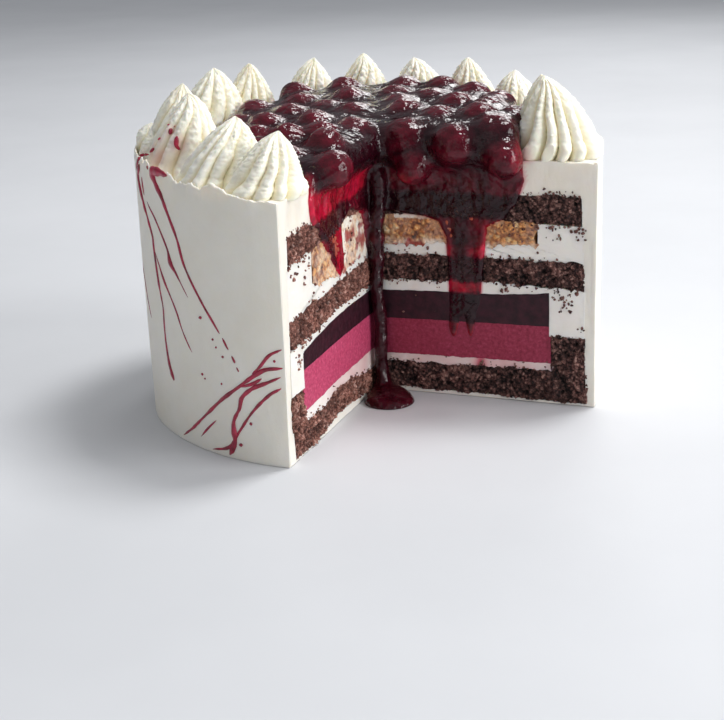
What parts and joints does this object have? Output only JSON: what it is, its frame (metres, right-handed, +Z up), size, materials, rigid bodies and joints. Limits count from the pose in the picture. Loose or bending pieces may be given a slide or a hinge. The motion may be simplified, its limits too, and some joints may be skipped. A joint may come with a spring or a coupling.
{
  "type": "layered chocolate cake with a quarter cut away",
  "caption": "Tall round frosted cake cut open to its sponge, mousse, jelly and crunch layers, with piped swirls and a glazed cherry heap running down the cut.",
  "frame": {"origin": "centre of the whole cake's round base, on the surface it stands on, where the two cut faces meet", "axes": "+Z up along the cake's axis; the left cut face is the plane x = 0 towards -Y, the right cut face is the plane y = 0 towards +X, and the missing quarter is x > 0, y < 0"},
  "size_m": [0.2014, 0.2014, 0.1416],
  "materials": {
    "frosting": "soft satin white cream frosting",
    "cream": "cut white cream filling with crumbs dragged through it",
    "sponge": "open, crumbly dark chocolate sponge",
    "mousse": "smooth set berry mousse, finely pored",
    "jelly": "dark set berry jelly",
    "crunch": "golden crumbled biscuit and nut crunch",
    "cherry_sauce": "glossy dark cherries in thick clear red sauce"
  },
  "bodies": {
    "root": {"frosting": "frosting", "sponge_bottom": "sponge", "sponge_ring": "sponge", "sponge_middle": "sponge", "sponge_top": "sponge", "cream_lower": "cream", "cream_middle": "cream", "cream_upper": "cream", "mousse": "mousse", "jelly": "jelly", "crunch": "crunch", "cherry_topping": "cherry_sauce", "sauce_thread": "cherry_sauce", "swirl_01": "frosting", "swirl_02": "frosting", "swirl_03": "frosting", "swirl_04": "frosting", "swirl_05": "frosting", "swirl_06": "frosting", "swirl_07": "frosting", "swirl_08": "frosting", "swirl_09": "frosting", "swirl_10": "frosting", "swirl_11": "frosting", "swirl_12": "frosting", "swirl_13": "frosting", "swirl_14": "frosting"}
  },
  "joints": []
}
